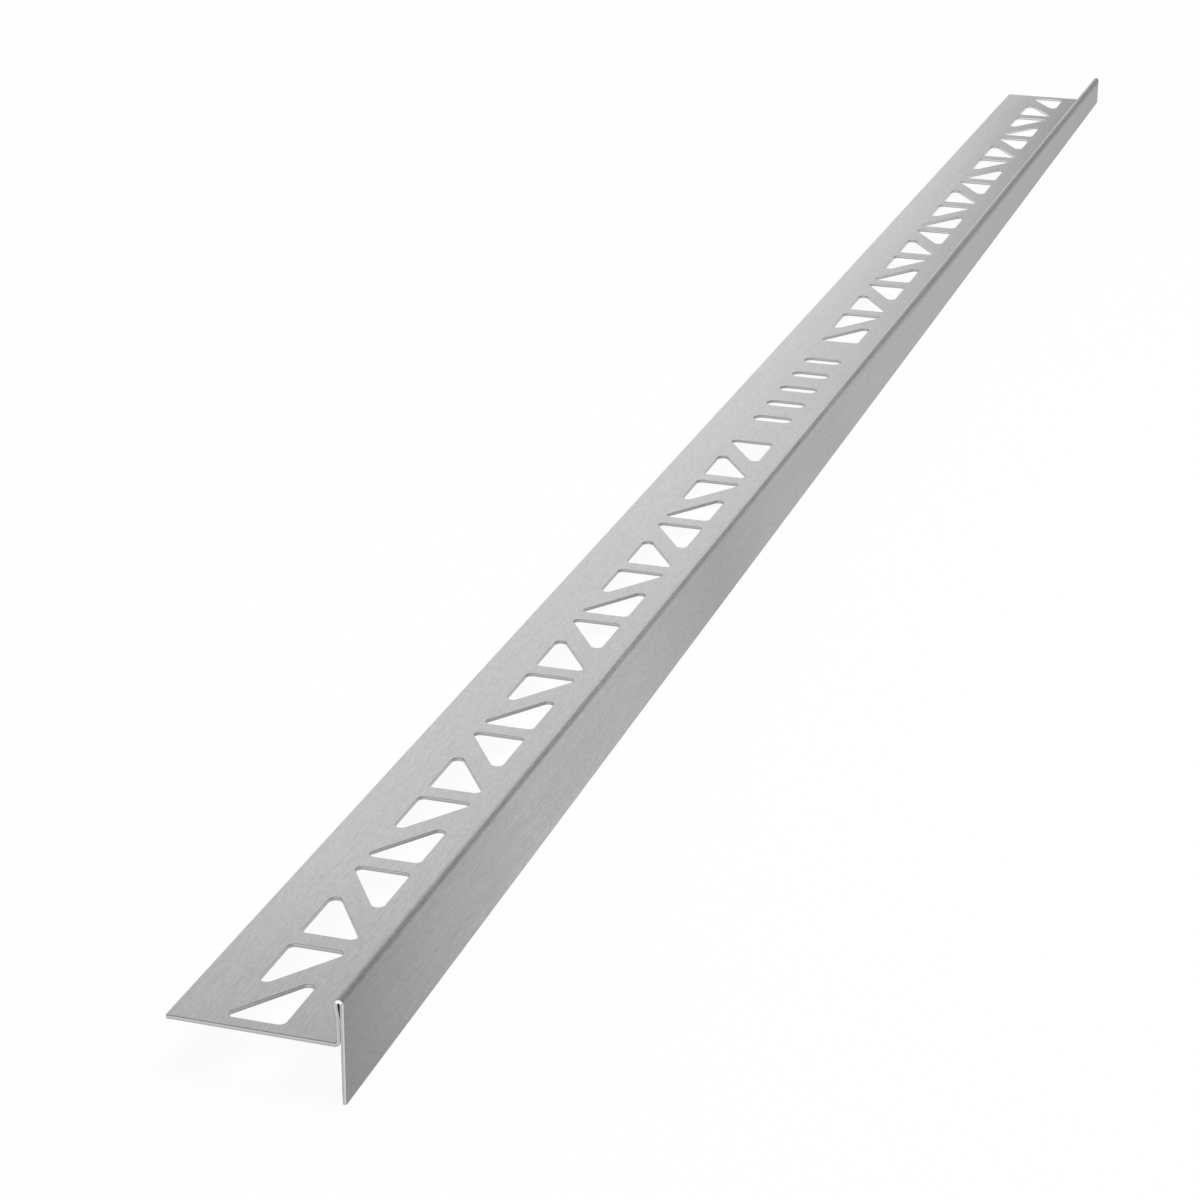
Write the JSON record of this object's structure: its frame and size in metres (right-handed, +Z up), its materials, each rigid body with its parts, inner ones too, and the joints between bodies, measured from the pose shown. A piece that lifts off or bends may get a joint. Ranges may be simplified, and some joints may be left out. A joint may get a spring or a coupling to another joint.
{
  "type": "shower slope wedge profile",
  "caption": "Wedge profile of folded brushed stainless sheet: a flat punched anchoring leg, a teardrop hem and a visible face that tapers along the fall of a shower floor.",
  "frame": {"origin": "centre of the bounding box at the level of the floor that the profile lies on", "axes": "+X along the strip from its deep end to its shallow end, -Y out of the visible face, +Z up. The cut edge of the face lies level on the floor, so the leg runs down towards +X by the fall of 1.5 percent."},
  "size_m": [1.0002, 0.045, 0.0275],
  "materials": {
    "brushed_stainless": "brushed along the length, matt"
  },
  "bodies": {
    "root": {"wedge_profile": "brushed_stainless"}
  },
  "joints": []
}
